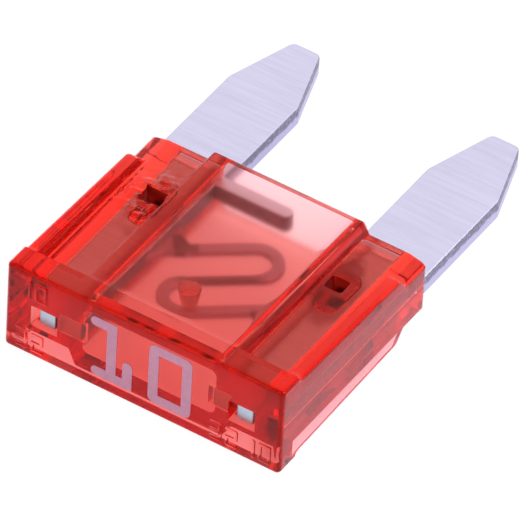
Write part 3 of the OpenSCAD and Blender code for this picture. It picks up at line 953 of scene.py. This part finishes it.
class FUSE_OT_housing(bpy.types.Operator):
    """Build the clear moulded housing in place of its CAD node"""

    bl_idname = "fuse.housing"
    bl_label = "Housing"

    def execute(self, context):
        settings = context.scene.fuse_housing
        body = housing_skin(settings.edge_radius, settings.foot_radius)
        for stroke in relief_strokes():
            combine(body, "UNION", relief_bar(*stroke))
        combine(body, "DIFFERENCE", cavity_tool())
        for side, half_x, half_y, rough in PITS:
            for face in (1, -1):
                combine(body, "DIFFERENCE", pit_tool(side * STAKE[0], half_x, half_y, face, rough))
        shade(body, 32)
        finish_piece(body, housing_material(settings), "housing")
        return {"FINISHED"}


class FUSE_OT_element(bpy.types.Operator):
    """Build the stamped element with its thin link in place of its CAD node"""

    bl_idname = "fuse.element"
    bl_label = "Fuse element"

    def execute(self, context):
        settings = context.scene.fuse_element
        rolls = (settings.top_roll, settings.foot_roll)
        element = plate("fuse_strip", leg_and_blade(1), -BLADE_H, BLADE_H, *rolls)
        combine(element, "UNION", plate("leg", leg_and_blade(-1), -BLADE_H, BLADE_H, *rolls))
        left, right = -BLADE_INNER_X - 0.2, TIE_END_X
        tie = rounded_path(
            [(left, BODY_L - TIE_W), (right, BODY_L - TIE_W), (right, BODY_L), (left, BODY_L)],
            [0, TIE_W * 0.45, TIE_W * 0.45, 0], 8)
        combine(element, "UNION", plate("tie", tie, -BLADE_H, BLADE_H, *rolls))
        for half_turn in (False, True):
            combine(element, "UNION", link_root(half_turn))
        combine(element, "UNION", link_strip())
        for side in (1, -1):
            combine(element, "DIFFERENCE", stake_bar("hole", side, 0.04, 1))
        shade(element, 35)
        finish_piece(element, element_material(settings), "fuse_element")
        return {"FINISHED"}


class FUSE_OT_print(bpy.types.Operator):
    """Give the printed rating its ink"""

    bl_idname = "fuse.rating_print"
    bl_label = "Rating print"

    def execute(self, context):
        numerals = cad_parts["rating_print"]
        numerals.data.materials.clear()
        numerals.data.materials.append(ink_material(context.scene.fuse_element))
        return {"FINISHED"}


class FUSE_OT_stage(bpy.types.Operator):
    """Set up the floor, the lights and the camera"""

    bl_idname = "fuse.stage"
    bl_label = "Stage"

    def execute(self, context):
        settings = context.scene.fuse_studio
        floor = bpy.data.meshes.new("floor")
        corners = [(x, y, -GAP_UNDER) for x, y in ((-2, -2), (2, -2), (2, 2), (-2, 2))]
        floor.from_pydata(corners, [], [(0, 1, 2, 3)])
        floor_object = bpy.data.objects.new("floor", floor)
        floor.materials.append(floor_material())
        context.scene.collection.objects.link(floor_object)
        self.light_world(context)
        for name, place, size, power in LAMPS:
            self.add_lamp(context, name, place, size, power)
        self.place_camera(context, settings)
        context.scene.view_settings.view_transform = "Standard"
        for kind in ("max_bounces", "glossy_bounces", "transmission_bounces"):
            setattr(context.scene.cycles, kind, LIGHT_BOUNCES)
        return {"FINISHED"}

    def light_world(self, context):
        """An even pale surround, white where it is seen directly."""
        world = bpy.data.worlds.new("studio")
        world.use_nodes = True
        world.node_tree.nodes.clear()
        tree = Tree(world.node_tree)
        path = tree.add("LightPath").outputs
        seen = tree.highest([path["Is Camera Ray"], path["Is Glossy Ray"], path["Is Transmission Ray"]])
        background = tree.add("Background", {"Color": WHITE, "Strength": tree.ramp(seen, 0, 1, WORLD_LIGHT, 1)})
        tree.add("OutputWorld", {"Surface": background.outputs["Background"]})
        context.scene.world = world

    def add_lamp(self, context, name, place, size, power):
        """A square soft lamp aimed at the fuse."""
        lamp = bpy.data.lights.new(name, "AREA")
        lamp.size = size
        lamp.energy = power
        lamp_object = bpy.data.objects.new(name, lamp)
        lamp_object.location = place
        lamp_object.rotation_euler = (-Vector(place)).to_track_quat("-Z", "Y").to_euler()
        context.scene.collection.objects.link(lamp_object)

    def place_camera(self, context, settings):
        """A long lens at the photograph's angle, turned a little about its own axis."""
        camera = bpy.data.cameras.new("camera")
        camera.lens = settings.lens
        camera.sensor_width = 36
        camera.clip_start = 0.01
        camera.clip_end = 20
        az, el = settings.azimuth, settings.elevation
        away = Vector((math.sin(az) * math.cos(el), -math.cos(az) * math.cos(el), math.sin(el)))
        turn = away.to_track_quat("Z", "Y").to_matrix() @ Matrix.Rotation(settings.roll, 3, "Z")
        place = Vector(settings.aim) + away * settings.distance
        camera_object = bpy.data.objects.new("camera", camera)
        camera_object.matrix_world = Matrix.Translation(place) @ turn.to_4x4()
        context.scene.collection.objects.link(camera_object)
        context.scene.camera = camera_object


class FUSE_PT_panel(bpy.types.Panel):
    """Lists the fuse's pieces and their settings"""

    bl_idname = "FUSE_PT_panel"
    bl_label = "Blade Fuse"
    bl_space_type = "VIEW_3D"
    bl_region_type = "UI"
    bl_category = "Blade Fuse"

    def draw(self, context):
        for operator in OPERATORS:
            self.layout.operator(operator.bl_idname)
        for settings in (context.scene.fuse_housing, context.scene.fuse_element, context.scene.fuse_studio):
            box = self.layout.box()
            for name in settings.__annotations__:
                box.prop(settings, name)


SETTINGS = (FuseHousingSettings, FuseElementSettings, FuseStudioSettings)
OPERATORS = (FUSE_OT_housing, FUSE_OT_element, FUSE_OT_print, FUSE_OT_stage)


def register():
    for cls in SETTINGS + OPERATORS + (FUSE_PT_panel,):
        bpy.utils.register_class(cls)
    bpy.types.Scene.fuse_housing = PointerProperty(type=FuseHousingSettings)
    bpy.types.Scene.fuse_element = PointerProperty(type=FuseElementSettings)
    bpy.types.Scene.fuse_studio = PointerProperty(type=FuseStudioSettings)


def unregister():
    del bpy.types.Scene.fuse_studio
    del bpy.types.Scene.fuse_element
    del bpy.types.Scene.fuse_housing
    for cls in reversed(SETTINGS + OPERATORS + (FUSE_PT_panel,)):
        bpy.utils.unregister_class(cls)


def main():
    register()
    bpy.ops.fuse.housing()
    bpy.ops.fuse.element()
    bpy.ops.fuse.rating_print()
    bpy.ops.fuse.stage()


if __name__ == "__main__":
    main()
